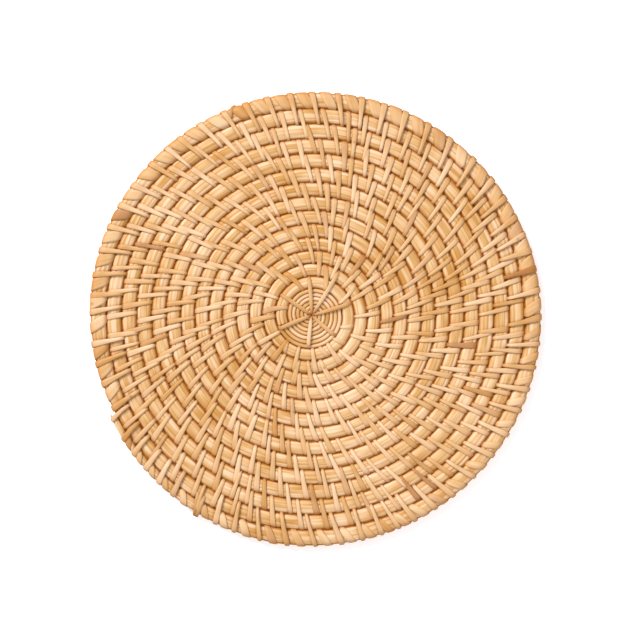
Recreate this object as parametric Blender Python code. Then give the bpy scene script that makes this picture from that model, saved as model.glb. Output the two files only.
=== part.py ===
"""Round coiled rattan seat pad: a spiral of bundled splints, sewn turn to turn with flat peel.

Metres, +Z up. The pad lies on z = 0. Places along the spiral are given as "winding": the number of
turns counted outwards from where the first sewn turn starts, on the +X side, clockwise from above.
"""
import math

import bpy
import numpy as np

# Overall sizes
FIRST_RADIUS = 0.0234      # inner edge of the first sewn turn, where it starts
PITCH = 0.00975            # radial step of the first sewn turn
PITCH_GROWTH = 0.00018     # added to the step with every turn
TURNS = 13.425             # winding at which the coil ends
PAD_THICKNESS = 0.0100
FRONT_TO_BACK = 0.989      # the pad is a little narrower along Y than a true spiral

# Foundation coil
HOLE_RADIUS = 0.0050
SPLINTS = 3                # splints that make up the bundle, seen separately round the hole
SPLINT_GAP = 0.0004
TAIL_TURNS = 0.15          # length of the tapered end
TAIL_TIP = 0.35            # share of the full width left at the tip
SHOULDER = 0.26            # chamfer of the bundle, as a share of its width
SIDES_PER_TURN = 30

# Sewing strand
STRAND_WIDTH = 0.0030
STRAND_THICKNESS = 0.0005
STITCH_SPACING = 0.0178    # along the coil
SPOKE_WINDINGS = (0.119, 0.272, 0.442, 0.600, 0.744, 0.842, 0.956)   # unevenly spaced by hand
SLOT_SHARE = 0.50          # where in the room between two stitches the next turn's stitch lands
LEAN = 0.0023              # how far a stitch leans along the coil while it crosses one turn
LEAN_INNER = 0.0000        # how much further near the middle
LEAN_FADE = 3.0            # turns over which that fades
EVENING = 0.3              # share of an uneven stitch step that is corrected
WRAP_WIDTH = 0.0042
WRAP_SHARE = 0.4           # most of the room between two stitches that a wrap may fill

# Small ends
KNOT_SIZE = (0.0036, 0.0016, 0.0022)   # half lengths: along the coil, outwards, upwards
KNOT_WINDING = 13.333
KNOT_FACETS = (6, 8)                   # rings along the coil, points round each
END_SIZE = (0.0035, 0.0004, 0.0014)
END_WINDING = 12.692
END_FACETS = (4, 4)

# Fits
CLEARANCE = 0.0003

TURN_GAP = 2 * STRAND_THICKNESS + 3 * CLEARANCE   # room for two strands side by side
COIL_BOTTOM = STRAND_THICKNESS + CLEARANCE
COIL_TOP = PAD_THICKNESS - COIL_BOTTOM
STRAND_LOW = STRAND_THICKNESS                     # inner face of a strand under the pad
STRAND_HIGH = PAD_THICKNESS - STRAND_THICKNESS    # inner face of a strand on top
SPOKE_RADIUS = HOLE_RADIUS - CLEARANCE

# Finishes: colour and roughness
CORE_FINISH = ((0.76, 0.50, 0.24), 0.55)
PEEL_FINISH = ((0.80, 0.55, 0.29), 0.42)
WRAP_FINISH = ((0.72, 0.45, 0.21), 0.45)
END_FINISH = ((0.55, 0.31, 0.13), 0.50)


def edge(winding):
    """Radius of the line between two turns."""
    return FIRST_RADIUS + PITCH * winding + 0.5 * PITCH_GROWTH * winding ** 2


def inner_side(winding):
    """Radius of the bundle's side that faces the centre."""
    return edge(winding) + TURN_GAP / 2


def outer_side(winding):
    """Radius of the bundle's side that faces the rim, drawn in along the tapered end."""
    full = edge(winding + 1) - TURN_GAP / 2
    left = min(1.0, (TURNS - winding) / TAIL_TURNS)
    share = TAIL_TIP + (1 - TAIL_TIP) * max(0.0, left)
    return inner_side(winding) + share * (full - inner_side(winding))


def along(distance, winding):
    """A distance along the coil as a share of a turn."""
    return distance / (2 * math.pi * edge(winding + 0.5))


def on_ray(winding, radius, height):
    angle = -2 * math.pi * winding
    return np.array([radius * math.cos(angle), FRONT_TO_BACK * radius * math.sin(angle), height])


def spot(winding, side, offset, height, sides=SIDES_PER_TURN):
    """A point at an offset from a side of the coil, on the straight facets that the coil is made of."""
    step = math.floor(winding * sides + 1e-9)
    share = winding * sides - step
    ends = [on_ray(k / sides, side(k / sides) + offset, height) for k in (step, step + 1)]
    return ends[0] * (1 - share) + ends[1] * share


def facet_corners(start, end, sides=SIDES_PER_TURN):
    """Windings of the facet corners strictly between two windings."""
    first = math.floor(start * sides + 1e-6) + 1
    last = math.ceil(end * sides - 1e-6) - 1
    return [k / sides for k in range(first, last + 1)]


def add_solid(name, sections, finish):
    """A closed tube through a row of sections, all with the same number of points."""
    rows = np.array(sections)
    count, size = rows.shape[:2]
    faces = []
    for row in range(count - 1):
        for k in range(size):
            after = (k + 1) % size
            faces.append((row * size + k, row * size + after,
                          (row + 1) * size + after, (row + 1) * size + k))
    faces.append(tuple(range(size - 1, -1, -1)))
    faces.append(tuple((count - 1) * size + k for k in range(size)))
    return add_object(name, rows.reshape(-1, 3), faces, finish)


def add_object(name, points, faces, finish):
    colour, roughness = finish
    mesh = bpy.data.meshes.new(name)
    mesh.from_pydata([tuple(p) for p in points], [], faces)
    mesh.update()
    made = bpy.data.objects.new(name, mesh)
    bpy.context.scene.collection.objects.link(made)
    material = bpy.data.materials.new(name)
    material.use_nodes = True
    shader = material.node_tree.nodes["Principled BSDF"]
    shader.inputs["Base Color"].default_value = (*colour, 1.0)
    shader.inputs["Roughness"].default_value = roughness
    shader.inputs["Metallic"].default_value = 0.0
    mesh.materials.append(material)
    return made


def turned_out(made):
    """Turns the faces round if they point inwards."""
    points = np.array([v.co for v in made.data.vertices])
    made.data.calc_loop_triangles()
    corners = points[np.array([t.vertices for t in made.data.loop_triangles])]
    if np.linalg.det(corners).sum() < 0:
        made.data.flip_normals()


def bundle_section(winding):
    """Six points round the bundle: a waist, and chamfered flats above and below."""
    width = outer_side(winding) - inner_side(winding)
    shoulder = SHOULDER * width
    middle = PAD_THICKNESS / 2
    return [spot(winding, inner_side, 0, middle),
            spot(winding, inner_side, shoulder, COIL_TOP),
            spot(winding, outer_side, -shoulder, COIL_TOP),
            spot(winding, outer_side, 0, middle),
            spot(winding, outer_side, -shoulder, COIL_BOTTOM),
            spot(winding, inner_side, shoulder, COIL_BOTTOM)]


def add_turns():
    """The foundation bundle, one piece to a turn, butted end to end."""
    number = 0
    while number < TURNS:
        last = number + 1 >= TURNS
        start = number + along(CLEARANCE / 2, number)
        end = TURNS if last else number + 1 - along(CLEARANCE / 2, number + 1)
        tail = facet_corners(TURNS - TAIL_TURNS, TURNS) if last else []
        windings = sorted({start, end, *facet_corners(start, end), *tail})
        name = "coil_tail" if last else f"coil_turn_{number + 1:02d}"
        add_solid(name, [bundle_section(w) for w in windings], CORE_FINISH)
        number += 1


def add_centre_splints():
    """The bundle's splints round the hole, each a spiral of its own."""
    sides = SIDES_PER_TURN // 2
    for index in range(SPLINTS):
        def low_side(winding, index=index):
            step = edge(winding + 1) - edge(winding)
            return edge(winding) + step * index / SPLINTS + SPLINT_GAP / 2

        def high_side(winding, index=index):
            step = edge(winding + 1) - edge(winding)
            room = TURN_GAP / 2 if index == SPLINTS - 1 else SPLINT_GAP / 2
            return edge(winding) + step * (index + 1) / SPLINTS - room

        start = 0.0
        while low_side(start) > HOLE_RADIUS:
            start -= 1 / sides
        start += 1 / sides
        end = -along(CLEARANCE / 2, 0)
        sections = []
        for winding in [start, *facet_corners(start, end, sides), end]:
            sections.append([spot(winding, low_side, 0, COIL_TOP, sides),
                             spot(winding, high_side, 0, COIL_TOP, sides),
                             spot(winding, high_side, 0, COIL_BOTTOM, sides),
                             spot(winding, low_side, 0, COIL_BOTTOM, sides)])
        add_solid(f"centre_splint_{'abc'[index]}", sections, CORE_FINISH)


def stitch_layout():
    """Outer and inner winding of every two-turn stitch, and the spokes' windings before them.

    Every stitch lands between two stitches of the turn inside it, past the middle of their room. A
    room that has grown too wide takes two, so that the spacing along the coil stays even.
    """
    starts = list(SPOKE_WINDINGS)
    middles = list(starts)
    stitches = []
    wanted = placed = slot = 0
    while slot + 1 < len(starts):
        width = starts[slot + 1] - starts[slot]
        outer = starts[slot] + 1
        lean = LEAN + LEAN_INNER * math.exp(-outer / LEAN_FADE)
        wanted += width / along(STITCH_SPACING, outer)
        number = int(round(wanted)) - placed
        placed += number
        for k in range(number):
            share = (k + SLOT_SHARE) / number
            start = outer + share * width - along(lean, outer)
            inner = middles[slot] + share * (middles[slot + 1] - middles[slot])
            if stitches:
                even = stitches[-1][0] + along(STITCH_SPACING, outer)
                start += EVENING * (even - start)
            if start > TURNS:
                return starts, middles, stitches
            stitches.append((start, inner))
            starts.append(start)
            middles.append((start + inner + 1) / 2)
        slot += 1
    return starts, middles, stitches


def strand_section(winding, side, offset, height, out, up, width):
    """Three points across a strand: its inner ridge, and the two edges of its flat outer face."""
    half = along(width / 2, winding)
    thick = STRAND_THICKNESS
    return [spot(winding, side, offset, height),
            spot(winding - half, side, offset + out * thick, height + up * thick),
            spot(winding + half, side, offset + out * thick, height + up * thick)]


def strand_path(stitches, layer=0.0):
    """Sections of one strand: over the top inwards, down, back under the pad, and up to the next."""
    out = CLEARANCE + layer
    sections = []
    for k, (start, inner, width) in enumerate(stitches):
        sections += [
            strand_section(start, outer_side, out, STRAND_HIGH, 1, 1, width),
            strand_section(inner, inner_side, -CLEARANCE, STRAND_HIGH, -1, 1, width),
            strand_section(inner, inner_side, -CLEARANCE, STRAND_LOW, -1, -1, width),
            strand_section(start, outer_side, out, STRAND_LOW, 1, -1, width)]
        if k + 1 == len(stitches):
            continue
        after = stitches[k + 1][0]
        for corner in facet_corners(start, after):
            rise = (corner - start) / (after - start)
            height = STRAND_LOW + rise * (STRAND_HIGH - STRAND_LOW)
            sections.append(strand_section(corner, outer_side, out, height, 1, 0, width))
    return sections


def add_stitch_rounds(stitches):
    """One strand to a turn, each stitch looped round that turn and the one inside it."""
    for number in range(1, math.ceil(TURNS)):
        own = [(*s, STRAND_WIDTH) for s in stitches if number <= s[0] < number + 1]
        add_solid(f"stitch_round_{number + 1:02d}", strand_path(own), PEEL_FINISH)


def add_centre_spokes(windings):
    """The first strand: spokes from the hole over and under the first sewn turn."""
    def hole(_winding):
        return SPOKE_RADIUS

    half = 0.5 * STRAND_WIDTH / (2 * math.pi * SPOKE_RADIUS)
    sections = []
    for k, winding in enumerate(windings):
        for height, up in ((STRAND_LOW, -1), (STRAND_HIGH, 1)):
            sections.append(strand_section(winding, outer_side, CLEARANCE, height, 1, up,
                                           STRAND_WIDTH))
        next_winding = windings[(k + 1) % len(windings)]
        for at, height, up in ((winding, STRAND_HIGH, 1), (next_winding, STRAND_LOW, -1)):
            inside = SPOKE_RADIUS - STRAND_THICKNESS
            flat = height + up * STRAND_THICKNESS
            sections.append([on_ray(at, SPOKE_RADIUS, height),
                             on_ray(at - half, inside, flat),
                             on_ray(at + half, inside, flat)])
    add_solid("centre_spokes", sections, PEEL_FINISH)


def add_rim_wrap(starts, middles):
    """The strand that covers the outermost turn between its stitches."""
    wraps = []
    for k in range(len(starts) - 1):
        if not TURNS - 1 < starts[k] < starts[k + 1] < TURNS:
            continue
        room = (starts[k + 1] - starts[k]) / along(1.0, starts[k])
        wraps.append(((starts[k] + starts[k + 1]) / 2, (middles[k] + middles[k + 1]) / 2,
                      min(WRAP_WIDTH, WRAP_SHARE * room)))
    layer = STRAND_THICKNESS + CLEARANCE
    add_solid("rim_wrap", strand_path(wraps, layer), WRAP_FINISH)


def add_small_end(name, winding, size, facets):
    """A small rounded body just outside the rim, longest along the coil."""
    rings, around = facets
    layers = 2 * (STRAND_THICKNESS + CLEARANCE) + CLEARANCE
    centre = spot(winding, outer_side, layers + size[1], PAD_THICKNESS / 2)
    outwards = np.array([centre[0], centre[1], 0.0]) / math.hypot(centre[0], centre[1])
    sideways = np.array([-outwards[1], outwards[0], 0.0])
    upwards = np.array([0.0, 0.0, 1.0])
    sections = []
    for ring in range(rings):
        lift = math.pi * (ring + 0.5) / rings
        section = []
        for k in range(around):
            turn = 2 * math.pi * k / around
            section.append(centre - math.cos(lift) * size[0] * sideways
                           + math.sin(lift) * math.cos(turn) * size[1] * outwards
                           + math.sin(lift) * math.sin(turn) * size[2] * upwards)
        sections.append(section)
    add_solid(name, sections, END_FINISH)


def centre_on_origin():
    """Moves everything so that the middle of the pad's box is on the Z axis."""
    made = [o for o in bpy.data.objects if o.type == "MESH"]
    points = np.array([v.co for o in made for v in o.data.vertices])
    middle = (points.min(axis=0) + points.max(axis=0)) / 2
    for one in made:
        for vertex in one.data.vertices:
            vertex.co.x -= middle[0]
            vertex.co.y -= middle[1]


def main():
    for old in list(bpy.data.objects):
        bpy.data.objects.remove(old)
    starts, middles, stitches = stitch_layout()
    add_centre_splints()
    add_turns()
    add_centre_spokes(SPOKE_WINDINGS)
    add_stitch_rounds(stitches)
    add_rim_wrap(starts, middles)
    add_small_end("finishing_knot", KNOT_WINDING, KNOT_SIZE, KNOT_FACETS)
    add_small_end("strand_end", END_WINDING, END_SIZE, END_FACETS)
    for made in bpy.data.objects:
        turned_out(made)
    centre_on_origin()


main()
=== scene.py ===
"""Looks of the round coiled rattan seat pad: splint bundles sewn turn to turn with peel.

Metres, +Z up, in the frame of the CAD model. Places along the coil are given as "winding": turns
counted outwards from where the first sewn turn starts, on the +X side, clockwise from above.
"""
import math

import bpy
import numpy as np
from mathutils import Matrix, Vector


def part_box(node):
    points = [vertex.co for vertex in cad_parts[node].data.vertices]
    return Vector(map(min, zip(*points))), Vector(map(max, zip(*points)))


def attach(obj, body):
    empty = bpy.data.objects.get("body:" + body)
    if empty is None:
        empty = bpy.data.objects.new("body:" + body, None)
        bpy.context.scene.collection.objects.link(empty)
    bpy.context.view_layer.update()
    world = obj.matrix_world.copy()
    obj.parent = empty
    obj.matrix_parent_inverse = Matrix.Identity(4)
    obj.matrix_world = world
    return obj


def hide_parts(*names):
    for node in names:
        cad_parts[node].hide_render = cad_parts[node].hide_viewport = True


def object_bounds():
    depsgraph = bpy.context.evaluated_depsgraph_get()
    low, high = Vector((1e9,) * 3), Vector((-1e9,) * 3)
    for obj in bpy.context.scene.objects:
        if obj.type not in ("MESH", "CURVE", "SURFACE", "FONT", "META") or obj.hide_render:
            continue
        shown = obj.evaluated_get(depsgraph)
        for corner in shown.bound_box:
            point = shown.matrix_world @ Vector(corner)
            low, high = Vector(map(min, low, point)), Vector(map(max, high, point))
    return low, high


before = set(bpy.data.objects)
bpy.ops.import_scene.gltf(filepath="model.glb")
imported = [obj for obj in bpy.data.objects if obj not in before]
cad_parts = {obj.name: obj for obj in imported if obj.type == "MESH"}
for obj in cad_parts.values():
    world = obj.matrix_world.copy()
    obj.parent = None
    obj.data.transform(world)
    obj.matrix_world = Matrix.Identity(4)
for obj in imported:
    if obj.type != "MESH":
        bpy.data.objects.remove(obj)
CAD_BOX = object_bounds()
RANDOM = np.random.default_rng(41)

# The coil and its sewing, as the CAD model lays them out
FIRST_RADIUS = 0.0234       # inner side of the first sewn turn, where it starts
PITCH = 0.00975             # width of that turn
PITCH_GROWTH = 0.00018      # added to it with every turn
TURNS = 13.425
FRONT_TO_BACK = 0.989       # depth over width
CAD_TURN_GAP = 0.0019
CAD_SIDES = 30              # straight sides that a turn has in CAD
TAIL_TURNS = 0.15           # length of the tapered end
TAIL_TIP = 0.35             # share of the bundle's width left at its tip
SPOKE_WINDINGS = (0.119, 0.272, 0.442, 0.600, 0.744, 0.842, 0.956)
STITCH_SPACING = 0.0178
SLOT_SHARE = 0.70           # where in the room between two stitches the next turn's stitch lands
LEAN = 0.0023               # along the coil, for each turn crossed
LEAN_INNER = 0.0012         # more of it near the middle
LEAN_FADE = 3.0             # turns over which that fades
EVENING = 0.3               # how far a stitch is moved towards an even spacing

# Stitches, as seen
OUTER_PLAY = 0.07           # random shift of a stitch's outer end, as a share of the spacing
INNER_PLAY = 0.05           # the same for its inner end
OWN_CROWN = 0.25            # share of the way in at which a stitch is over the middle of its turn
NEXT_CROWN = 0.75           # and over the middle of the turn inside
SPOKE_REACH = (0, 0, 0, 0, 0, 1, 0)   # how far each spoke goes on across the first sewn turn
FIRST_STITCHES = (0.04, 0.11, 0.19, 0.35, 0.51, 0.66, 0.79, 0.90)
FIRST_ROUND_TWO = 0.45      # winding from which those stitches also reach round the turn inside
SLIM_TURNS = 0.42           # length at the coil's end over which rim stitches and wraps are slimmer
STITCH_LIFT = -0.0006       # of a stitch's underside over the bundle, where it is pinched
RIM_LIFT = 0.0010           # how much higher stitches lie where they cross the wraps

# Splint bundle
SEEN_GAP = -0.0001          # the bundles press into each other a little at the waist
BUNDLE_START = -0.55        # winding at which the three centre splints become one bundle
BUNDLE_HALF_HEIGHT = 0.0041
BUNDLE_POWER = 2.6          # 2 is an oval, more is boxier
FULL_HALF_WIDTH = 0.0046    # half width from which a bundle has its full height
THIN_HEIGHT = 0.55          # share of the height that the thinnest bundle keeps
RIDGES = 9                  # splints seen round a bundle
RIDGE_POINTS = 6
RIDGE_DEPTH = 0.00028
SPLIT_DEPTH = 0.0009        # of the ridges where the bundle starts as three splints
ROW_STEP = 0.0015
PINCH_DEPTH = 0.0007        # how far a strand presses in
PINCH_REACH = 0.0026
CANE_RUN = 0.060            # length over which a splint keeps its tone

# Centre splints, and the cut splints on the tail: (length past the end, rise, inset) of each
CENTRE_SPLINTS = 3
CENTRE_START = -3.2         # winding, inside the hole, from which they are worked out
CENTRE_ROWS = 340
CENTRE_POINTS = 14
SEEN_HOLE_RADIUS = 0.0016
TAIL_SPLINTS = ((0.0012, 0.0006, 0.0002), (-0.0014, 0.0020, 0.0008), (-0.0040, 0.0029, 0.0018))
TAIL_SPLINT_TURNS = 0.035
TAIL_SPLINT_HALF = 0.0008
TAIL_SPLINT_ROWS = 40
TAIL_SPLINT_POINTS = 8

# Peel strand
STRAND_POINTS = 10
STRAND_SAG = 0.0003         # between the two turns that a strand crosses
STRAND_HALF_ROUND = 0.0016  # half its way round, for the fibre map

# Widths, heights and darkness (painted shade) along a strand: pairs of the share of the way and the
# value there
STITCH_TOP = ((0, 0.0034), (0.04, 0.0041), (0.12, 0.0046), (0.3, 0.0043), (0.55, 0.0036),
              (0.8, 0.0031), (1, 0.0028))
STITCH_BACK = ((0, 0.0034), (0.1, 0.0036), (0.5, 0.0034), (1, 0.0028))
STITCH_THICK = ((0, 0.0010), (0.3, 0.0012), (0.7, 0.0015), (1, 0.0015))
RIM_TOP = ((0, 0.0052), (0.1, 0.0054), (0.3, 0.0049), (0.5, 0.0039), (0.7, 0.0031), (1, 0.0027))
RIM_BACK = ((0, 0.0060), (0.2, 0.0050), (0.6, 0.0034), (1, 0.0024))
WRAP_TOP = ((0, 0.0098), (0.5, 0.0104), (0.8, 0.0098), (1, 0.0060))
WRAP_BACK = ((0, 0.0098), (0.3, 0.0100), (0.7, 0.0080), (1, 0.0060))
# A strand's shape: width over the top, width underneath, play of the width from stitch to stitch,
# thickness over the top, thickness underneath, and how square its corners are, from 1 down
STITCH_SHAPE = (STITCH_TOP, STITCH_BACK, 0.16, STITCH_THICK, 0.0010, 0.9)
RIM_SHAPE = (RIM_TOP, RIM_BACK, 0.10, STITCH_THICK, 0.0010, 0.9)
WRAP_SHAPE = (WRAP_TOP, WRAP_BACK, 0.08, ((0, 0.0014), (1, 0.0014)), 0.0014, 0.7)
SPOKE_STATIONS = (0, 0.03, 0.08, 0.16, 0.27, 0.38, 0.48, 0.56, 0.64, 0.7, 0.75, 0.82, 0.9, 0.96, 1)
SPOKE_RISE = ((0, 0), (0.03, 0.0030), (0.08, 0.0041), (0.16, 0.0043), (0.48, 0.0045),
              (0.56, 0.0048), (0.86, 0.0047), (0.92, 0.0042), (0.97, 0.0026), (1, 0))
SPOKE_BACK_RISE = ((0, 0), (0.05, -0.0034), (0.2, -0.0045), (0.9, -0.0044), (1, 0))
SPOKE_TOP = ((0, 0.0013), (0.1, 0.0022), (0.3, 0.0029), (0.5, 0.0031), (0.8, 0.0031),
             (0.94, 0.0030), (1, 0.0026))
SPOKE_BACK = ((0, 0.0022), (0.3, 0.0030), (1, 0.0030))
# painted shade where a spoke goes down into the hole and down beside the first sewn turn
SPOKE_DARK = ((0, 1), (0.08, 0.75), (0.2, 0.1), (0.85, 0.1), (0.95, 0.5), (1, 0.9))
SPOKE_THICK = 0.0011
SPOKE_INNER_END = 0.0003
SPOKE_PAST = 0.0004         # how far past the side of a turn a spoke goes down
SPOKE_LEAN = 0.0012

# The knot's strands, from inside the rim over the top to underneath: distance in from its middle,
# rise, how far apart the two lie, how far both lie to the side, half width, darkness (painted shade
# and a darker colour)
KNOT_STATIONS = (
    (0.0185, 0.0010, 1.6, -0.0052, 0.0012, 0), (0.0170, 0.0042, 1.6, -0.0048, 0.0014, 0.05),
    (0.0120, 0.0050, 1.4, -0.0034, 0.0015, 0.1), (0.0070, 0.0051, 1.1, -0.0018, 0.0015, 0.35),
    (0.0030, 0.0048, 0.7, -0.0006, 0.0015, 0.6), (0.0004, 0.0026, 0.4, 0, 0.0016, 1),
    (0, -0.0002, 0.35, 0, 0.0016, 1), (0.0012, -0.0030, 0.4, 0, 0.0015, 1),
    (0.0045, -0.0044, 0.8, 0, 0.0014, 0.65), (0.0100, -0.0047, 1.0, 0, 0.0010, 0.3))
KNOT_STRANDS = ((-0.0016, 0.7), (0.0016, 0.95))   # how far to the side, and tone
# The strand's end: distance in from its middle, distance along the rim, rise, half width
END_STATIONS = ((0.0085, 0.0050, 0.0042, 0.0008), (0.0060, 0.0032, 0.0050, 0.0014),
                (0.0030, 0.0014, 0.0046, 0.0016), (0.0006, -0.0006, 0.0030, 0.0016),
                (-0.0002, -0.0022, 0.0008, 0.0014), (0, -0.0034, -0.0012, 0.0009))

MIDDLE_HEIGHT = (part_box("coil_turn_08")[0].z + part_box("coil_turn_08")[1].z) / 2
FLOOR_CLEARANCE = 0.00002
FLOOR_SOFTNESS = 0.0002     # within this height over it, surfaces are pressed flat by the floor


def profile(share, pairs):
    """Value at a share of the way, read off straight lines between (share, value) pairs."""
    return np.interp(share, *zip(*pairs))


def ring_angles(count):
    return 2 * np.pi * (np.arange(count) + 0.5) / count


def metres_along(points):
    """Length of the broken line through the points, up to each of them."""
    return np.append(0, np.cumsum(np.linalg.norm(np.diff(points, axis=0), axis=1)))


def signed_power(value, power):
    return np.sign(value) * np.abs(value) ** power


# ---------------------------------------------------------------- the coil's lines

def edge(winding):
    """Radius of the line between two turns: the pitch grows a little with every turn."""
    return FIRST_RADIUS + PITCH * winding + 0.5 * PITCH_GROWTH * winding ** 2


def along(distance, winding):
    """A distance along the coil as a share of a turn."""
    return distance / (2 * math.pi * edge(winding + 0.5))


def sides_of(winding, gap):
    """Radii of the bundle's two sides; the outer one is drawn in along the tapered end."""
    inner = edge(winding) + gap / 2
    full = edge(winding + 1) - gap / 2
    share = TAIL_TIP + (1 - TAIL_TIP) * np.clip((TURNS - winding) / TAIL_TURNS, 0, 1)
    return inner, inner + share * (full - inner)


def coil_pole():
    """Centre of the spiral: the shift that lays turn 13, as worked out here, over its CAD box."""
    winding = np.arange(12 * CAD_SIDES, 13 * CAD_SIDES + 1) / CAD_SIDES
    low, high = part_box("coil_turn_13")
    angle = -2 * np.pi * winding
    outer = sides_of(winding, CAD_TURN_GAP)[1]
    x, y = outer * np.cos(angle), FRONT_TO_BACK * outer * np.sin(angle)
    return ((low.x + high.x - x.min() - x.max()) / 2, (low.y + high.y - y.min() - y.max()) / 2)


POLE = coil_pole()


def above_floor(height):
    """Close to the floor the height falls off as an exponential: it nears the clearance, and no two
    heights become the same."""
    over = (height - FLOOR_CLEARANCE) / FLOOR_SOFTNESS - 1
    pressed = FLOOR_CLEARANCE + FLOOR_SOFTNESS * np.exp(np.minimum(over, 0))
    return np.where(over > 0, height, pressed)


def place(winding, radius, height):
    """Points of the pad from winding, radius and height: the angle runs clockwise from +X."""
    angle = -2 * np.pi * winding
    x = POLE[0] + radius * np.cos(angle)
    y = POLE[1] + FRONT_TO_BACK * radius * np.sin(angle)
    return np.stack([x, y, above_floor(height + 0 * x)], axis=-1)


def wander(positions, step, lanes):
    """Smooth random values from -1 to 1: one for every step, joined by half cosine waves."""
    first = positions.min()
    knots = RANDOM.uniform(-1, 1, (int((positions.max() - first) / step) + 3, lanes))
    at = (positions - first) / step
    whole = np.floor(at).astype(int)
    share = ((1 - np.cos(np.pi * (at - whole))) / 2)[:, None]
    return knots[whole] * (1 - share) + knots[whole + 1] * share


# ---------------------------------------------------------------- where the stitches are

def stitch_layout():
    """Outer and inner winding of every stitch: each lands between two of the turn inside."""
    starts = list(SPOKE_WINDINGS)
    middles = list(starts)
    stitches = []
    wanted = placed = slot = 0
    while slot + 1 < len(starts):
        width = starts[slot + 1] - starts[slot]
        outer = starts[slot] + 1
        lean = LEAN + LEAN_INNER * math.exp(-outer / LEAN_FADE)
        wanted += width / along(STITCH_SPACING, outer)
        number = int(round(wanted)) - placed
        placed += number
        for k in range(number):
            share = (k + SLOT_SHARE) / number
            start = outer + share * width - along(lean, outer)
            inner = middles[slot] + share * (middles[slot + 1] - middles[slot])
            if stitches:
                even = stitches[-1][0] + along(STITCH_SPACING, outer)
                start += EVENING * (even - start)
            if start > TURNS:
                return np.array(stitches)
            stitches.append((start, inner))
            starts.append(start)
            middles.append((start + inner + 1) / 2)
        slot += 1
    return np.array(stitches)


class Rounds:
    """The stitches' windings: outer end, inner end (one turn on), and the next one's outer end."""

    def __init__(self):
        stitches = stitch_layout()
        count = len(stitches)
        spacing = along(STITCH_SPACING, stitches[:, 0])
        self.start = stitches[:, 0] + OUTER_PLAY * spacing * RANDOM.uniform(-1, 1, count)
        self.inner = stitches[:, 1] + 1 + INNER_PLAY * spacing * RANDOM.uniform(-1, 1, count)
        self.next = np.append(self.start[1:], self.start[-1] + 0.05 * spacing[-1])
        self.turn = np.floor(stitches[:, 0]).astype(int)

    def crown(self, share, top):
        """Winding at which each stitch crosses, at a share of the way from outer to inner end."""
        if top:
            return self.start + share * (self.inner - self.start)
        return self.inner + (1 - share) * (self.next - self.inner)


ROUNDS = Rounds()
OWN_MARKS = {top: np.sort(ROUNDS.crown(OWN_CROWN, top)) for top in (True, False)}
NEXT_MARKS = {top: np.sort(ROUNDS.crown(NEXT_CROWN, top) - 1) for top in (True, False)}
TOP_SLANT = (ROUNDS.inner - ROUNDS.start) / 4
BACK_SLANT = (ROUNDS.next - ROUNDS.inner) / 4


def nearest(values, marks):
    """Distance from each value to the nearest of the sorted marks."""
    after = np.clip(np.searchsorted(marks, values), 1, len(marks) - 1)
    return np.minimum(np.abs(values - marks[after - 1]), np.abs(marks[after] - values))


def pinch(winding, across, top):
    """How strongly strands press here, 0 to 1: a bell round each strand that crosses the bundle.

    across is -1 at the bundle's inner side and 1 at its outer side; the strands lean with it.
    """
    length = 2 * np.pi * edge(winding + 0.5)
    slant = np.interp(winding, ROUNDS.start, TOP_SLANT if top else -BACK_SLANT)
    leaning = winding + across * slant
    own = nearest(leaning, OWN_MARKS[top]) * length
    other = nearest(leaning, NEXT_MARKS[top]) * length
    inner_end = 0.8             # strands are narrower and press less on the turn inside
    return np.maximum(np.exp(-(own / PINCH_REACH) ** 2),
                      inner_end * np.exp(-(other / (inner_end * PINCH_REACH)) ** 2))


# ---------------------------------------------------------------- mesh making

STRIP_BAND = 0.96           # of the UV square's height, for strips; end caps lie above it
TUBE_BAND = 0.97            # from one tube's strips to the next one's, as a share of a tube's room
CAP_HEIGHT = 0.985


def strip_layout(rows, around):
    """UVs of a long tube, cut into equal lengths that are stacked to fill the strips' band."""
    cuts = max(1, int(round(math.sqrt(rows / around))))
    per_cut = math.ceil(rows / cuts)
    cell_row, cell_side = np.meshgrid(np.arange(rows), np.arange(around), indexing="ij")
    step_row = np.array([0, 1, 1, 0])
    step_side = np.array([0, 0, 1, 1])
    u = (cell_row % per_cut)[..., None] + step_row
    v = cell_side[..., None] + step_side
    v = v / around + (cell_row // per_cut)[..., None]
    return np.stack([u / per_cut, STRIP_BAND * v / cuts], axis=-1).reshape(-1, 4, 2)


def corners_of(grid):
    """The four corner values of every face between neighbouring rows and columns."""
    return np.stack([grid[:-1, :-1], grid[1:, :-1], grid[1:, 1:], grid[:-1, 1:]], -1)


def runs_inward(grid):
    """Whether the area that a tube's rings sweep points along it, so its faces would face in."""
    middle = grid.mean(axis=1)
    ray = grid - middle[:, None]
    area = np.cross(ray, np.roll(ray, -1, 1)).sum(axis=1)
    return np.einsum("ij,ij->", area[:-1], np.diff(middle, axis=0)) > 0


def add_tubes(name, tubes, material, nodes):
    """One piece from closed tubes: each is a grid of points (rows, around) with both ends capped.

    A tube is (points, lengthwise metres, metres around, {attribute: value for each point}).
    """
    points, quads, caps, grain, layout = [], [], [], [], []
    extras = {key: [] for key in tubes[0][3]}
    first = 0
    for index, (grid, lengthwise, around_m, values) in enumerate(tubes):
        rows, around = grid.shape[:2]
        order = slice(None, None, -1) if runs_inward(grid) else slice(None)
        number = first + np.arange(rows * around).reshape(rows, around)
        quads.append(corners_of(np.append(number, number[:, :1], 1)).reshape(-1, 4)[:, order])
        caps += [number[0][order], number[-1][::-1][order]]
        points.append(grid.reshape(-1, 3))
        closing = 2 * around_m[..., -1:] - around_m[..., -2:-1]
        u = np.broadcast_to(lengthwise[:, None], (rows, around + 1))
        v = np.broadcast_to(np.append(around_m, closing, -1), (rows, around + 1))
        grain.append(np.stack([corners_of(u), corners_of(v)], -1)[..., order, :].reshape(-1, 2))
        strip = strip_layout(rows - 1, around)[:, order].reshape(-1, 2)
        layout.append((strip + [0, TUBE_BAND * index]) / [1, len(tubes)])
        for key, value in values.items():
            extras[key].append(np.broadcast_to(value, (rows, around)).reshape(-1))
        first += rows * around
    return build_mesh(name, points, quads, caps, grain, layout, extras, material, nodes)


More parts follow.
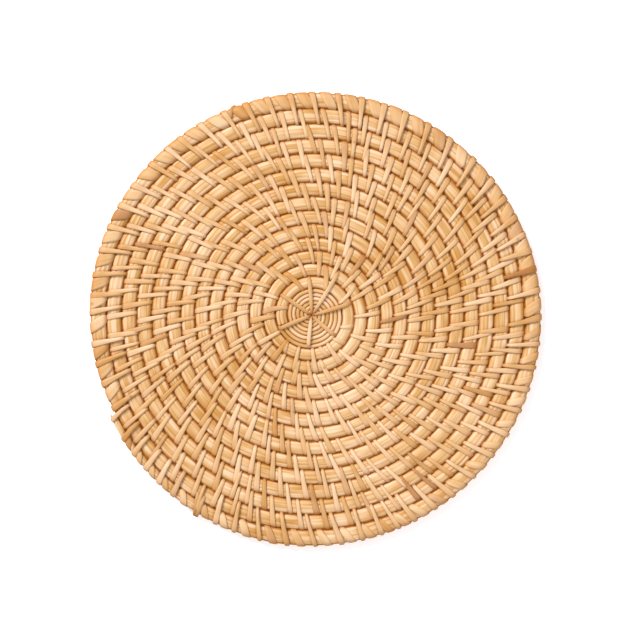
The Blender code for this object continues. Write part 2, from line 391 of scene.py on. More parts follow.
def cap_layout(caps):
    """UVs of the end caps: small discs in the band above the strips."""
    corners = []
    for number, cap in enumerate(caps):
        turn = 2 * np.pi * np.arange(len(cap)) / len(cap)
        centre = np.array([(number + 0.5) / len(caps), CAP_HEIGHT])
        size = min(0.012, 0.4 / len(caps))
        corners.append(centre + size * np.stack([np.cos(turn), np.sin(turn)], -1))
    return corners


def build_mesh(name, points, quads, caps, grain, layout, extras, material, nodes):
    """Fills a mesh with whole arrays of points, faces, UVs and attributes."""
    points = np.concatenate(points)
    quads = np.concatenate(quads)
    loops = np.concatenate([quads.reshape(-1), *caps])
    sizes = np.concatenate([np.full(len(quads), 4), [len(cap) for cap in caps]])
    mesh = bpy.data.meshes.new(name)
    mesh.vertices.add(len(points))
    mesh.vertices.foreach_set("co", points.reshape(-1))
    mesh.loops.add(len(loops))
    mesh.loops.foreach_set("vertex_index", loops)
    mesh.polygons.add(len(sizes))
    mesh.polygons.foreach_set("loop_start", np.concatenate([[0], np.cumsum(sizes)[:-1]]))
    mesh.update(calc_edges=True)
    caps_uv = cap_layout(caps)
    bake = np.concatenate([*layout, *caps_uv])
    fibre = np.concatenate([*grain, *[uv * 0.01 for uv in caps_uv]])
    for map_name, values in (("OFBake", bake), ("Fibre", fibre)):
        uv_map = mesh.uv_layers.new(name=map_name)
        uv_map.data.foreach_set("uv", values.reshape(-1).astype(np.float32))
    for key, value in extras.items():
        mesh.attributes.new(key, "FLOAT", "POINT").data.foreach_set("value", np.concatenate(value))
    mesh.polygons.foreach_set("use_smooth", sizes == 4)
    mesh.validate()
    mesh.materials.append(material)
    piece = bpy.data.objects.new(name, mesh)
    bpy.context.scene.collection.objects.link(piece)
    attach(piece, "root")
    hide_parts(*nodes)
    return piece


# ---------------------------------------------------------------- outline of a bundle

def oval(angle):
    """Point of the unit superellipse at an angle."""
    power = 2 / BUNDLE_POWER
    return signed_power(np.cos(angle), power), signed_power(np.sin(angle), power)


def outline_angles():
    """Shares of the way round a full-size bundle, the angles there, and the whole way in metres."""
    angle = np.linspace(0, 2 * np.pi, 721)
    x, z = oval(angle)
    half_width = (PITCH + PITCH_GROWTH * int(TURNS / 2) - SEEN_GAP) / 2
    way = metres_along(np.stack([x * half_width, z * BUNDLE_HALF_HEIGHT], -1))
    return way / way[-1], angle, way[-1]


WAY_SHARE, WAY_ANGLE, WAY_ROUND = outline_angles()


def outward(x, z, half_width, half_height):
    """Unit normal of the superellipse with these half axes at the unit point (x, z)."""
    nx = signed_power(x, BUNDLE_POWER - 1) / half_width
    nz = signed_power(z, BUNDLE_POWER - 1) / half_height
    size = np.hypot(nx, nz)
    return nx / size, nz / size


def fullness(half_width):
    """How near to full a bundle of this half width is, up to 1, and its half height."""
    full = np.minimum(1, half_width / FULL_HALF_WIDTH)
    return full, BUNDLE_HALF_HEIGHT * (THIN_HEIGHT + (1 - THIN_HEIGHT) * full)


def bundle_grid(start, end):
    """Surface of the bundle between two windings, with the values that its finish reads.

    Rows run along the coil and columns round the superellipse. Each splint is a ridge between two
    wandering lines, as high as the 0.6th power of a half sine, and the strands pinch the bundle.
    Where the bundle starts, the ridges are deep, and fall off as an exponential.
    """
    length = 2 * np.pi * edge((start + end) / 2 + 0.5) * (end - start)
    winding = np.linspace(start, end, int(length / ROW_STEP) + 2)[:, None]
    metres = 2 * np.pi * (FIRST_RADIUS * winding + 0.5 * PITCH * winding ** 2)[:, 0]
    inner, outer = sides_of(winding, SEEN_GAP)
    half = (outer - inner) / 2
    ridge, step = np.divmod(np.arange(RIDGES * RIDGE_POINTS), RIDGE_POINTS)
    split_turns = 0.05
    split = np.exp(-(winding - BUNDLE_START) / split_turns)
    lines = (np.arange(RIDGES) - 0.25 + 0.30 * (1 - split) * lane_wander(metres)) / RIDGES
    lines = np.concatenate([lines, lines[:, :1] + 1], axis=1)
    share = step / RIDGE_POINTS
    way = lines[:, ridge] * (1 - share) + lines[:, ridge + 1] * share
    angle = np.interp(way % 1, WAY_SHARE, WAY_ANGLE)
    x, z = oval(angle)
    full, tall = fullness(half)
    nx, nz = outward(x, z, half, BUNDLE_HALF_HEIGHT)
    ridge_height = np.sin(np.pi * share) ** 0.6
    top = (1 + np.clip(3 * z, -1, 1)) / 2
    pressed = top * pinch(winding, x, True) + (1 - top) * pinch(winding, x, False)
    pressed = pressed * np.clip(1.8 * np.abs(z) - 0.2, 0, 1)        # not at the waist
    depth = RIDGE_DEPTH * (0.55 + 0.9 * lane_tone(metres * 1.7 + 0.4)[:, ridge]) * full
    depth = depth + SPLIT_DEPTH * split
    inwards = PINCH_DEPTH * pressed + depth * (1 - ridge_height) - 0.00008 * full
    radius = (inner + outer) / 2 + x * half - nx * inwards
    height = MIDDLE_HEIGHT + z * tall - nz * inwards
    cane = lane_tone(metres)[:, ridge]
    # painted shade: darker in the grooves between splints, at the waist where one turn meets the
    # next, and round the strands that press in
    groove = (1 - ridge_height) * depth / (2 * RIDGE_DEPTH)
    waist = np.clip((np.abs(x) - 0.78) / 0.14, 0, 1)
    values = {"cane": cane, "painted_shade": np.clip(0.55 * groove + waist + 0.2 * pressed, 0, 1)}
    return place(winding, radius, height), metres, way * WAY_ROUND, values


def lane_waves(metres, waves):
    """Sum of sines (size, rate, shift from splint to splint) along each splint, from -1 to 1."""
    lanes = np.arange(RIDGES)
    total = sum(size * np.sin(metres[:, None] * rate + lanes * shift)
                for size, rate, shift in waves)
    return total / sum(size for size, _rate, _shift in waves)


def lane_wander(metres):
    """How far each splint's edge strays, the same where one turn's piece meets the next."""
    return lane_waves(metres, ((1, 71, 2.4), (0.5, 163, 5.1), (0.8, 29, 1.3)))


def lane_tone(metres):
    """Tone of each splint, 0 to 1: slow waves of lengths that don't repeat, so no seam shows."""
    rate = 2 * np.pi / CANE_RUN
    return 0.5 + 0.5 * lane_waves(metres, ((1, 0.31 * rate, 4.7), (1, 0.83 * rate, 2.9),
                                           (0.7, 1.9 * rate, 8.3)))


def add_turns(material):
    """The bundle, one piece for each CAD turn, parted under a stitch near each whole winding."""
    marks = OWN_MARKS[True]
    parting = [marks[np.argmin(np.abs(marks - whole))] for whole in range(1, int(TURNS) + 1)]
    ends = [BUNDLE_START, *parting, TURNS]
    nodes = [f"coil_turn_{number:02d}" for number in range(1, int(TURNS) + 1)] + ["coil_tail"]
    for node, start, end in zip(nodes, ends, ends[1:]):
        tubes = [bundle_grid(start, end)] + (tail_splints() if node == "coil_tail" else [])
        add_tubes(f"{node}_splints", tubes, material, [node])


def tail_splints():
    """Cut ends of three fine splints, stepped, lying along the outer side of the tapered end."""
    turn = ring_angles(TAIL_SPLINT_POINTS)
    tubes = []
    for past_end, rise, inset in TAIL_SPLINTS:
        winding = np.linspace(TURNS - TAIL_SPLINT_TURNS, TURNS + along(past_end, TURNS),
                              TAIL_SPLINT_ROWS)[:, None]
        radius = sides_of(winding, SEEN_GAP)[1] - inset + TAIL_SPLINT_HALF * np.cos(turn)
        height = MIDDLE_HEIGHT + rise + TAIL_SPLINT_HALF * np.sin(turn)
        metres = 2 * np.pi * edge(TURNS) * (winding[:, 0] - winding[0, 0])
        # painted shade on the undersides of the cut splints
        values = {"cane": 1 - 100 * inset, "painted_shade": np.clip(-np.sin(turn), 0, 1)}
        tubes.append((place(winding, radius, height), metres, turn * TAIL_SPLINT_HALF, values))
    return tubes


def add_centre_splints(material):
    """Three splints coiled side by side round the hole, each a capsule section on its own spiral.

    The section is a half circle above, straight sides, and a half circle below.
    """
    turn = ring_angles(CENTRE_POINTS)
    pressed = 0.00003
    for index in range(CENTRE_SPLINTS):
        winding = np.linspace(CENTRE_START, BUNDLE_START, CENTRE_ROWS)[:, None]
        step = edge(winding + 1) - edge(winding)
        middle = edge(winding) + step * (index + 0.5) / CENTRE_SPLINTS
        keep = middle[:, 0] > SEEN_HOLE_RADIUS
        winding, middle, step = winding[keep], middle[keep], step[keep]
        half = step / CENTRE_SPLINTS / 2 + pressed
        metres = np.cumsum(np.append(0, np.diff(winding[:, 0]) * 2 * np.pi * middle[1:, 0]))
        swell = 1 + 0.05 * wander(metres, 0.009, 1)
        radius = middle + half * swell * np.cos(turn)
        tall = BUNDLE_HALF_HEIGHT - 0.0006 - half
        lift = 0.0002 * wander(metres, 0.02, 1)
        height = MIDDLE_HEIGHT + lift + np.sign(np.sin(turn)) * tall + half * np.sin(turn)
        # painted shade on their sides, where they lie against each other
        values = {"cane": 0.5 + 0.4 * wander(metres, CANE_RUN / 2, 1),
                  "painted_shade": np.clip(1.25 - 1.3 * np.abs(np.sin(turn)), 0, 1)}
        name = f"centre_splint_{'abc'[index]}"
        tube = (place(winding, radius, height), metres, turn * 0.002, values)
        add_tubes(f"{name}_reed", [tube], material, [name])


# ---------------------------------------------------------------- strands

QUARTER = np.radians([0, 24, 44, 60, 76, 90])
BRIDGE = np.array([0.25, 0.5, 0.75])


def there_and_back(top):
    """The stations over the top, and the same ones in reverse underneath."""
    back = [(inner, 2 * np.pi - angle, share, sag) for inner, angle, share, sag in top[::-1][1:-1]]
    return np.array(top), np.array(back)


def two_turn_path():
    """A loop round two turns: (share of inner turn, angle on it, share of the way in, sag)."""
    x = oval(QUARTER)[0]
    bridge = 4 * BRIDGE * (1 - BRIDGE)
    top = [(0, a, OWN_CROWN * (1 - c), 0) for a, c in zip(QUARTER, x)]
    top += [(b, np.pi / 2, OWN_CROWN + (NEXT_CROWN - OWN_CROWN) * b, s)
            for b, s in zip(BRIDGE, bridge)]
    top += [(1, np.pi - a, NEXT_CROWN + OWN_CROWN * c, 0) for a, c in zip(QUARTER[::-1], x[::-1])]
    return there_and_back(top)


def one_turn_path():
    """A loop round one turn, in the same form."""
    angle = np.radians(np.arange(0, 181, 15))
    x = oval(angle)[0]
    return there_and_back([(0, a, 0.5 * (1 - c), 0) for a, c in zip(angle, x)])


def flat_section(across_power, bulge_power):
    """A flat band's section as a superellipse: across it, its bulge, and metres round it."""
    turn = ring_angles(STRAND_POINTS)
    across = signed_power(np.cos(turn), across_power)
    return (across, signed_power(np.sin(turn), bulge_power),
            across * STRAND_HALF_ROUND + 0.0001 * np.arange(STRAND_POINTS))


def strand_tube(path, start, inner, after, shape, lift, tone, tint, slim=1.0):
    """A peel strand carried round every stitch in turn, as one tube.

    Station by station the middle line follows the bundle's superellipse, moved out by the lift; the
    winding goes in step with the way across. The section is a flat superellipse laid along the
    coil, as wide and as thick as the shape says at each share of the way. start, inner and after
    are windings, one per stitch, as lift, tone and tint are.
    """
    width_top, width_back, play, thick_top, thick_back, corner = shape
    top, back = path
    stations = np.concatenate([top, back])
    is_top = np.arange(len(stations)) < len(top)
    inner_turn, angle, share, sag = stations.T
    begin, middle, end = (v[:, None] for v in (start, inner, after))
    winding = np.where(is_top, begin + share * (middle - begin),
                       middle + (1 - share) * (end - middle))
    x, z = oval(angle)
    out_in, out_out = sides_of(winding, SEEN_GAP)
    in_in, in_out = sides_of(winding - 1, SEEN_GAP)
    half = ((out_out - out_in) * (1 - inner_turn) + (in_out - in_in) * inner_turn) / 2
    centre = ((out_out + out_in) * (1 - inner_turn) + (in_out + in_in) * inner_turn) / 2
    tall = fullness(half)[1]
    nx, nz = outward(x, z, half, tall)
    thick = np.where(is_top, profile(share, thick_top), thick_back)
    raised = thick / 2 + lift[:, None]
    radius = centre + x * half + nx * raised
    height = MIDDLE_HEIGHT + z * tall + nz * raised - np.sign(z) * STRAND_SAG * sag
    across, bulge, round_it = flat_section(corner, corner)
    width = np.where(is_top, profile(share, width_top), profile(share, width_back))
    width = slim * width * (1 + play * RANDOM.uniform(-1, 1, len(start)))[:, None]
    wide = width[..., None] * across / 2
    deep = thick[:, None] * bulge / 2
    ring = 2 * np.pi * radius[..., None]
    section_winding = winding[..., None] + wide / ring
    section_radius = radius[..., None] + nx[..., None] * deep + PITCH * wide / ring
    section_height = height[..., None] + nz[..., None] * deep
    grid = place(section_winding, section_radius, section_height).reshape(-1, STRAND_POINTS, 3)
    metres = metres_along(place(winding, radius, height).reshape(-1, 3))
    dip = np.clip((0.93 - np.abs(z)) / 0.45, 0, 1)      # painted shade where it goes down between turns
    border = 0.6 * np.clip((0.5 - bulge) / 0.3, 0, 1)   # and painted shade along its borders
    cane, painted_shade, press, tint = (
        np.broadcast_to(value, winding.shape).reshape(-1, 1)
        for value in (tone[:, None], 0.9 * dip, np.where(is_top, 1 - share, 0.3), tint[:, None]))
    values = {"cane": cane, "painted_shade": np.clip(painted_shade + border, 0, 1), "press": press, "tint": tint}
    return grid, metres, round_it, values


def tones(count):
    """Tone of each stitch, and the few that are pink or red-brown."""
    tone = np.clip(0.60 + 0.24 * RANDOM.standard_normal(count), 0, 1.1)
    tint = np.where(RANDOM.random(count) < 0.08, RANDOM.uniform(0.1, 0.5, count), 0.0)
    tint = np.where(RANDOM.random(count) < 0.012, 0.9, tint)
    return tone, tint


def add_stitch_rounds(material):
    """One strand to a turn. On the outermost coil the stitches spread and lie over the wraps."""
    last_turn = int(ROUNDS.turn.max())
    path = two_turn_path()
    for number in range(1, last_turn + 1):
        own = ROUNDS.turn == number
        start, inner, after = ROUNDS.start[own], ROUNDS.inner[own], ROUNDS.next[own]
        tone, tint = tones(len(start))
        rim = start > TURNS - 1
        lift = 0.0001 * RANDOM.standard_normal(len(start)) + STITCH_LIFT
        tubes = []
        late = start > TURNS - SLIM_TURNS
        for chosen, shape, more in ((~rim, STITCH_SHAPE, 0.0),
                                    (rim & ~late, RIM_SHAPE, RIM_LIFT),
                                    (rim & late, STITCH_SHAPE, RIM_LIFT)):
            if chosen.any():
                tubes.append(strand_tube(path, start[chosen], inner[chosen], after[chosen], shape,
                                         lift[chosen] + more, tone[chosen], tint[chosen]))
        node = f"stitch_round_{number + 1:02d}"
        add_tubes(f"{node}_peel", tubes, material, [node])


def add_rim_wrap(material):
    """Wide flat peel wound round the outermost coil between its stitches, leaning more."""
    tip_room, lean, slimmed = 0.004, 0.0072, 0.65
    rim = np.flatnonzero((ROUNDS.start > TURNS - 1) & (ROUNDS.next < TURNS - tip_room))
    begin = ROUNDS.start[rim] + 0.5 * (ROUNDS.next[rim] - ROUNDS.start[rim])
    middle = begin + along(lean, begin)
    after = np.append(begin[1:], begin[-1] + along(STITCH_SPACING, begin[-1]))
    count = len(begin)
    slim = np.where(begin > TURNS - SLIM_TURNS, slimmed, 1.0)[:, None]
    tone, tint = tones(count)
    lift = -0.00035 + 0.00012 * RANDOM.standard_normal(count)
    tube = strand_tube(one_turn_path(), begin, middle, after, WRAP_SHAPE, lift, tone, tint, slim)
    add_tubes("rim_wrap_peel", [tube], material, ["rim_wrap"])


def swept(points, sizes, flat, around=12):
    """Tube along a line of points: at each, an oval of a given half width, flattened along Z."""
    points = np.array(points, float)
    tangent = np.gradient(points, axis=0)
    tangent /= np.linalg.norm(tangent, axis=1, keepdims=True)
    steep = np.abs(tangent[:, 2:]) > 0.95
    inwards = points.mean(axis=0) * [-1, -1, 0]
    side = np.cross(tangent, np.where(steep, inwards, [0.0, 0.0, 1.0]))
    side /= np.linalg.norm(side, axis=1, keepdims=True)
    lift = np.cross(side, tangent)
    turn = ring_angles(around)
    sizes = np.array(sizes)[:, None, None]
    grid = points[:, None] + sizes * (np.cos(turn)[None, :, None] * side[:, None]
                                      + flat * np.sin(turn)[None, :, None] * lift[:, None])
    grid[..., 2] = above_floor(grid[..., 2])
    return grid, metres_along(points), turn * float(np.mean(sizes))


def add_spokes(material):
    """The first strand, one spoke after the other and then the short stitches.

    A spoke runs out from the hole over the centre splints and down beside the first sewn turn, or
    beyond it where its reach says so, and back underneath to the next spoke. Radius and winding go
    in step with the share of the way out, the height follows its profile, and the flat section is
    square to the line.
    """
    own = np.array(SPOKE_WINDINGS)[:, None]
    following = np.array([*SPOKE_WINDINGS[1:], SPOKE_WINDINGS[0] + 1])[:, None]
    count = len(own)
    out = np.array(SPOKE_STATIONS)
    back = out[::-1][1:-1]
    inner_side, outer_side = sides_of(own, SEEN_GAP)
    reach = inner_side + SPOKE_PAST + np.array(SPOKE_REACH)[:, None] * (outer_side - inner_side)
    lean = -along(SPOKE_LEAN, own) * out ** 1.5
    tip = own + lean[:, -1:]
    winding = np.concatenate([own + lean, tip + (1 - back) * (following - tip)], axis=1)
    radius = SPOKE_INNER_END + np.append(out, back) * (reach - SPOKE_INNER_END)
    rise = np.append(profile(out, SPOKE_RISE), profile(back, SPOKE_BACK_RISE))
    height = MIDDLE_HEIGHT + rise + 0 * radius
    width = np.append(profile(out, SPOKE_TOP), profile(back, SPOKE_BACK))
    slope_r, slope_z = np.gradient(radius, axis=1), np.gradient(height, axis=1)
    size = np.hypot(slope_r, slope_z)
    nx, nz = -slope_z / size, slope_r / size
    across, bulge, round_it = flat_section(0.8, 0.9)
    wide = width[:, None] * across / 2
    deep = SPOKE_THICK * bulge / 2
    ring = 2 * np.pi * np.maximum(radius, 0.002)[..., None]
    grid = place(winding[..., None] + wide / ring, radius[..., None] + nx[..., None] * deep,
                 height[..., None] + nz[..., None] * deep).reshape(-1, STRAND_POINTS, 3)
    tone = tones(count)[0]
    press = np.append(0.9 * out ** 2, 0.3 + 0 * back)
    # painted shade along each spoke, and a little underneath
    dark = np.append(profile(out, SPOKE_DARK), 0.1 + 0 * back)
    values = {"cane": np.repeat(tone, len(rise))[:, None], "tint": 0.0,
              "press": np.tile(press, count)[:, None], "painted_shade": np.tile(dark, count)[:, None]}
    tube = (grid, metres_along(place(winding, radius, height).reshape(-1, 3)), round_it, values)
    add_tubes("centre_spokes_peel", [tube, *first_stitches()], material,
              ["centre_spokes"])


def first_stitches():
    """Stitches of the first strand that lie between the spokes: round the first turn only, and from
    FIRST_ROUND_TWO on round the turn inside it as well."""
    start = np.array(FIRST_STITCHES)
    tone, tint = tones(len(start))
    tubes = []
    following = 0.012
    for chosen, path, lean in ((start < FIRST_ROUND_TWO, one_turn_path(), 0.0040),
                               (start > FIRST_ROUND_TWO, two_turn_path(), 0.0085)):
        begin = start[chosen]
        lift = np.full(len(begin), STITCH_LIFT)
        tubes.append(strand_tube(path, begin, begin + along(lean, begin),
                                 begin + along(following, begin), STITCH_SHAPE, lift,
                                 tone[chosen], tint[chosen]))
    return tubes


def axes_at(node):
    """Middle of a CAD node's box, the way outwards from the pad's axis there, sideways, and up."""
    low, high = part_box(node)
    middle = np.array((low + high) / 2)
    outwards = middle * [1, 1, 0] / np.hypot(middle[0], middle[1])
    return middle, outwards, np.array([-outwards[1], outwards[0], 0.0]), np.array([0.0, 0.0, 1.0])


def add_small_ends(material):
    """The finishing knot, two short strands drawn over the rim into a rounded end darkened by
    painted shade and a darker colour, and the cut end of a strand that stands proud of the rim."""
    middle, outwards, sideways, up = axes_at("finishing_knot")
    back, rise, apart, lean, size, dark = np.array(KNOT_STATIONS).T[..., None]
    tubes = []
    for shift, tone in KNOT_STRANDS:
        line = middle - outwards * back + sideways * (shift * apart + lean) + up * rise
        # darkness gives painted shade where the strands go over the rim and underneath, and a
        # darker colour
        tubes.append((*swept(line, size[:, 0], 0.42),
                      {"cane": tone, "painted_shade": dark * 0.7, "press": dark, "tint": dark * 0.5}))
    add_tubes("finishing_knot_loop", tubes, material, ["finishing_knot"])
    middle, outwards, sideways, up = axes_at("strand_end")
    back, along_rim, rise, size = np.array(END_STATIONS).T[..., None]
    line = middle - outwards * back + sideways * along_rim + up * rise
    # darker towards its tip, where it goes down over the rim: painted shade and a darker colour
    dark = np.linspace(0.1, 0.8, len(line))[:, None]
    tube = (*swept(line, size[:, 0], 0.45),
            {"cane": 0.5, "painted_shade": dark * 0.4, "press": dark, "tint": dark * 0.3})
    add_tubes("strand_end_tip", [tube], material, ["strand_end"])


# ---------------------------------------------------------------- finishes

def new_group(name, inputs, outputs):
    """An empty node group with named sockets; each is (name, kind, starting value)."""
    group = bpy.data.node_groups.new(name, "ShaderNodeTree")
    for socket, kind, value in inputs:
        made = group.interface.new_socket(socket, in_out="INPUT", socket_type=kind)
        if value is not None:
            made.default_value = value
    for socket, kind in outputs:
        group.interface.new_socket(socket, in_out="OUTPUT", socket_type=kind)
    given = group.nodes.new("NodeGroupInput").outputs
    return group, given, group.nodes.new("NodeGroupOutput").inputs


class Wiring:
    """Short calls for adding and joining shader nodes in one tree."""

    def __init__(self, tree):
        self.tree = tree

    def put(self, target, value):
        if isinstance(value, bpy.types.NodeSocket):
            self.tree.links.new(value, target)
        else:
            target.default_value = value

    def math(self, operation, first, second=0.0, third=0.0, clamp=False):
        node = self.tree.nodes.new("ShaderNodeMath")
        node.operation, node.use_clamp = operation, clamp
        for socket, value in zip(node.inputs, (first, second, third)):
            self.put(socket, value)
        return node.outputs[0]

    def mix(self, share, first, second, blend="MIX"):
        node = self.tree.nodes.new("ShaderNodeMix")
        node.data_type, node.blend_type = "RGBA", blend
        self.put(node.inputs["Factor"], share)
        self.put(node.inputs["A"], first)
        self.put(node.inputs["B"], second)
        return node.outputs["Result"]

    def noise(self, vector, detail=2.0, rough=0.5, dimensions="3D", scale=1.0):
        node = self.tree.nodes.new("ShaderNodeTexNoise")
        node.noise_dimensions = dimensions
        self.put(node.inputs["Vector"], vector)
        node.inputs["Scale"].default_value = scale
        node.inputs["Detail"].default_value = detail
        node.inputs["Roughness"].default_value = rough
        return node.outputs["Fac"]

    def spread(self, value, low, high, new_low=0.0, new_high=1.0):
        node = self.tree.nodes.new("ShaderNodeMapRange")
        for socket, number in zip(("Value", "From Min", "From Max", "To Min", "To Max"),
                                  (value, low, high, new_low, new_high)):
            self.put(node.inputs[socket], number)
        return node.outputs["Result"]

    def attribute(self, name):
        node = self.tree.nodes.new("ShaderNodeAttribute")
        node.attribute_name = name
        return node.outputs["Fac"]

    def group(self, group, **values):
        node = self.tree.nodes.new("ShaderNodeGroup")
        node.node_tree = group
        for name, value in values.items():
            self.put(node.inputs[name.replace("_", " ")], value)
        return node.outputs


def fibre_group():
    """Streaks that run along a splint: noise stretched along its length, fine and coarse."""
    group, given, wanted = new_group(
        "Cane fibres",
        [("Fibre map", "NodeSocketVector", None), ("Pattern", "NodeSocketFloat", 0.0),
         ("Fineness", "NodeSocketFloat", 3000.0), ("Run", "NodeSocketFloat", 30.0)],
        [("Fine", "NodeSocketFloat"), ("Coarse", "NodeSocketFloat")])
    wire = Wiring(group)
    parts = group.nodes.new("ShaderNodeSeparateXYZ")
    wire.put(parts.inputs[0], given["Fibre map"])
    for name, share, detail in (("Fine", 1.0, 3.0), ("Coarse", 0.42, 2.0)):
        joined = group.nodes.new("ShaderNodeCombineXYZ")
        for axis, rate in (("X", given["Run"]), ("Y", given["Fineness"])):
            stretched = wire.math("MULTIPLY", parts.outputs[axis], rate)
            wire.put(joined.inputs[axis], wire.math("MULTIPLY", stretched, share))
        wire.put(joined.inputs["Z"], given["Pattern"])
        wire.put(wanted[name], wire.noise(joined.outputs[0], detail, 0.6))
    return group


def tone_group():
    """Colour of a splint or stitch from its own tone, its streaks and slow cloudy patches."""
    group, given, wanted = new_group(
        "Cane tone",
        [("Pale", "NodeSocketColor", (1, 1, 1, 1)), ("Middle", "NodeSocketColor", (1, 1, 1, 1)),
         ("Deep", "NodeSocketColor", (1, 1, 1, 1)), ("Cane", "NodeSocketFloat", 0.5),
         ("Fine", "NodeSocketFloat", 0.5), ("Coarse", "NodeSocketFloat", 0.5),
         ("Position", "NodeSocketVector", None), ("Streak strength", "NodeSocketFloat", 0.5)],
        [("Color", "NodeSocketColor")])
    wire = Wiring(group)
    patches = wire.noise(given["Position"], 2.0, 0.5, scale=45.0)
    broad = wire.noise(given["Position"], 1.0, 0.5, scale=6.0)
    tone = given["Cane"]
    streak = given["Streak strength"]
    for pattern, strength in ((given["Fine"], streak), (given["Coarse"], streak),
                              (patches, 1.4), (broad, 0.7)):
        swing = wire.math("SUBTRACT", pattern, 0.5)
        tone = wire.math("MULTIPLY_ADD", swing, strength, tone)
    light = wire.mix(wire.spread(tone, 0.45, 1.05), given["Middle"], given["Pale"])
    wire.put(wanted["Color"], wire.mix(wire.spread(tone, 0.45, -0.1), light, given["Deep"]))
    return group


SPECK_COLOUR = (0.16, 0.055, 0.015, 1)


def shade_and_specks_group():
    """Painted shade, browner and duller, in creases and gaps, and a few small brown specks."""
    group, given, wanted = new_group(
        "Crease and specks",
        [("Color", "NodeSocketColor", (1, 1, 1, 1)), ("Crease", "NodeSocketFloat", 0.0),
         ("Crease color", "NodeSocketColor", (0.2, 0.06, 0.01, 1)),
         ("Strength", "NodeSocketFloat", 0.8), ("Position", "NodeSocketVector", None),
         ("Speck size", "NodeSocketFloat", 300.0)],
        [("Color", "NodeSocketColor"), ("Dull", "NodeSocketFloat")])
    wire = Wiring(group)
    uneven = wire.noise(given["Position"], 2.0, 0.5, scale=180.0)
    painted_shade = wire.math("MULTIPLY", wire.math("MULTIPLY", given["Crease"], given["Strength"]),
                       wire.spread(uneven, 0.25, 0.75, 0.75, 1.15), clamp=True)
    specks = group.nodes.new("ShaderNodeTexVoronoi")
    wire.put(specks.inputs["Vector"], given["Position"])
    wire.put(specks.inputs["Scale"], given["Speck size"])
    rare = group.nodes.new("ShaderNodeSeparateColor")
    wire.put(rare.inputs[0], specks.outputs["Color"])
    chosen = wire.math("GREATER_THAN", rare.outputs["Red"], 0.993)
    near = wire.spread(specks.outputs["Distance"], 0.55, 0.1, 0.0, 0.5)
    speck = wire.math("MULTIPLY", chosen, near)
    warm = wire.mix(painted_shade, given["Color"], given["Crease color"])
    wire.put(wanted["Color"], wire.mix(speck, warm, SPECK_COLOUR))
    wire.put(wanted["Dull"], painted_shade)
    return group


GROUPS = {"fibre": fibre_group(), "tone": tone_group(), "painted_shade_and_specks": shade_and_specks_group()}


def cane_material(name, pale, middle, deep, painted_shade, rough, streak, fineness, bump, pressed=None):
    """Rattan: tone from the groups, a painted shade colour in the hollows and gaps, a soft gloss
    and a fibre bump.

    pressed is the colours of a peel strand where it is pressed over an edge and where it is tinted;
    such a strand also has its own fibre pattern, moved by its tone.
    """
    material = bpy.data.materials.new(name)
    material.use_nodes = True
    tree = material.node_tree
    wire = Wiring(tree)
    shader = tree.nodes["Principled BSDF"]
    fibre_map = tree.nodes.new("ShaderNodeUVMap")
    fibre_map.uv_map = "Fibre"
    position = tree.nodes.new("ShaderNodeTexCoord").outputs["Object"]
    cane = wire.attribute("cane")
    pattern = wire.math("MULTIPLY", cane, 37.0) if pressed else 0.0
    fibres = wire.group(GROUPS["fibre"], Fibre_map=fibre_map.outputs[0], Pattern=pattern,
                        Fineness=fineness)
    colour = wire.group(GROUPS["tone"], Pale=pale, Middle=middle, Deep=deep, Cane=cane,
                        Fine=fibres["Fine"], Coarse=fibres["Coarse"], Position=position,
                        Streak_strength=streak)["Color"]
    if pressed:
        for name, share, other in zip(("press", "tint"), (0.40, 0.75), pressed):
            colour = wire.mix(wire.math("MULTIPLY", wire.attribute(name), share), colour, other)
    shaded_and_specked = wire.group(GROUPS["painted_shade_and_specks"], Color=colour, Crease=wire.attribute("painted_shade"),
                      Crease_color=painted_shade, Strength=0.92, Position=position)
    wire.put(shader.inputs["Base Color"], shaded_and_specked["Color"])
    gloss = wire.spread(fibres["Coarse"], 0.2, 0.8, rough - 0.08, rough + 0.10)
    wire.put(shader.inputs["Roughness"], wire.math("MULTIPLY_ADD", shaded_and_specked["Dull"], 0.25, gloss))
    shader.inputs["Specular IOR Level"].default_value = 0.24
    height = tree.nodes.new("ShaderNodeBump")
    height.inputs["Strength"].default_value = bump
    height.inputs["Distance"].default_value = 0.0003
    coarse = wire.math("MULTIPLY", fibres["Coarse"], 0.7)
    wire.put(height.inputs["Height"], wire.math("MULTIPLY_ADD", fibres["Fine"], 0.6, coarse))
    wire.put(shader.inputs["Normal"], height.outputs["Normal"])
    return material


def make_materials():
    """The pad's four finishes; the numbers are roughness, streak strength, fineness and bump."""
    # colour of the painted shade in grooves, gaps, undersides and round the strands
    painted_shade = (0.43, 0.135, 0.003, 1)
    pressed = ((0.56, 0.265, 0.085, 1), (0.38, 0.135, 0.035, 1))
    return {
        "core": cane_material("Core cane", (0.88, 0.620, 0.395, 1), (0.735, 0.445, 0.198, 1),
                              (0.57, 0.275, 0.064, 1), painted_shade, 0.52, 1.6, 1700.0, 0.35),
        "peel": cane_material("Peel strand", (0.88, 0.615, 0.385, 1), (0.735, 0.445, 0.208, 1),
                              (0.59, 0.285, 0.076, 1), painted_shade, 0.44, 0.7, 2000.0, 0.35, pressed),
        "rim": cane_material("Rim peel", (0.88, 0.605, 0.360, 1), (0.72, 0.420, 0.185, 1),
                             (0.57, 0.265, 0.066, 1), painted_shade, 0.46, 0.9, 1800.0, 0.4, pressed),
        "dark": cane_material("Darkened peel end", (0.70, 0.43, 0.20, 1), (0.52, 0.28, 0.11, 1),
                              (0.30, 0.13, 0.045, 1), painted_shade, 0.48, 0.7, 3000.0, 0.4, pressed),
    }


# ---------------------------------------------------------------- floor, light and camera

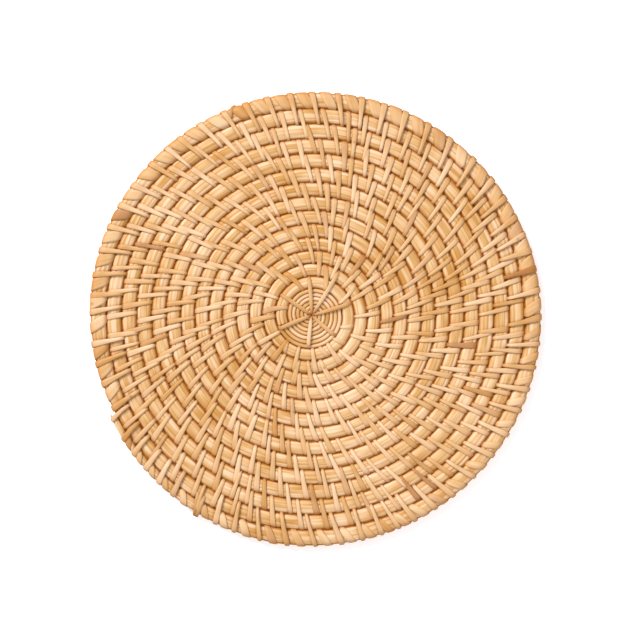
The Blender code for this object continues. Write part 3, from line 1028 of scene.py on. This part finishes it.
def add_floor():
    """A plain floor that glows a little, so that it stays pale up to the pad."""
    mesh = bpy.data.meshes.new("floor")
    reach = 2.5
    signs = ((-1, -1), (1, -1), (1, 1), (-1, 1))
    mesh.from_pydata([(reach * x, reach * y, 0) for x, y in signs], [], [(0, 1, 2, 3)])
    material = bpy.data.materials.new("Pale floor")
    material.use_nodes = True
    shader = material.node_tree.nodes["Principled BSDF"]
    shader.inputs["Base Color"].default_value = (0.93, 0.93, 0.935, 1)
    shader.inputs["Emission Color"].default_value = (1.0, 1.0, 1.0, 1)
    shader.inputs["Emission Strength"].default_value = 0.38
    shader.inputs["Roughness"].default_value = 0.9
    shader.inputs["Specular IOR Level"].default_value = 0.1
    mesh.materials.append(material)
    floor = bpy.data.objects.new("floor", mesh)
    bpy.context.scene.collection.objects.link(floor)


def add_soft_light(name, spot, size, power):
    """A square area light that faces the pad."""
    light = bpy.data.lights.new(name, "AREA")
    light.shape, light.size, light.energy = "SQUARE", size, power
    made = bpy.data.objects.new(name, light)
    made.location = spot
    made.rotation_euler = (-Vector(spot)).to_track_quat("-Z", "Y").to_euler()
    bpy.context.scene.collection.objects.link(made)


def add_light():
    world = bpy.data.worlds.new("Studio")
    world.use_nodes = True
    sky = world.node_tree.nodes["Background"]
    sky.inputs["Color"].default_value = (0.96, 0.98, 1.0, 1)
    sky.inputs["Strength"].default_value = 0.51
    bpy.context.scene.world = world
    add_soft_light("key", (-2.1, 2.3, 2.3), 1.4, 162.0)
    add_soft_light("fill", (0.8, -0.8, 1.1), 0.6, 5.6)


def add_camera():
    """Straight above the pad. The view is 1.39 times the pad's width across."""
    low, high = Vector(CAD_BOX[0]), Vector(CAD_BOX[1])
    distance = 1.5
    frame_width = 0.4878
    aside, forward = -0.0005, 0.0033
    camera = bpy.data.cameras.new("camera")
    camera.sensor_width = 36.0
    camera.lens = camera.sensor_width * distance / frame_width
    camera.clip_end = 20.0
    made = bpy.data.objects.new("camera", camera)
    middle = (low + high) / 2
    made.location = (middle.x + aside, middle.y + forward, high.z + distance)
    bpy.context.scene.collection.objects.link(made)
    bpy.context.scene.camera = made


def main():
    finish = make_materials()
    add_turns(finish["core"])
    add_centre_splints(finish["core"])
    add_spokes(finish["peel"])
    add_stitch_rounds(finish["peel"])
    add_rim_wrap(finish["rim"])
    add_small_ends(finish["dark"])
    add_floor()
    add_light()
    add_camera()
    bpy.context.scene.view_settings.view_transform = "Standard"


main()
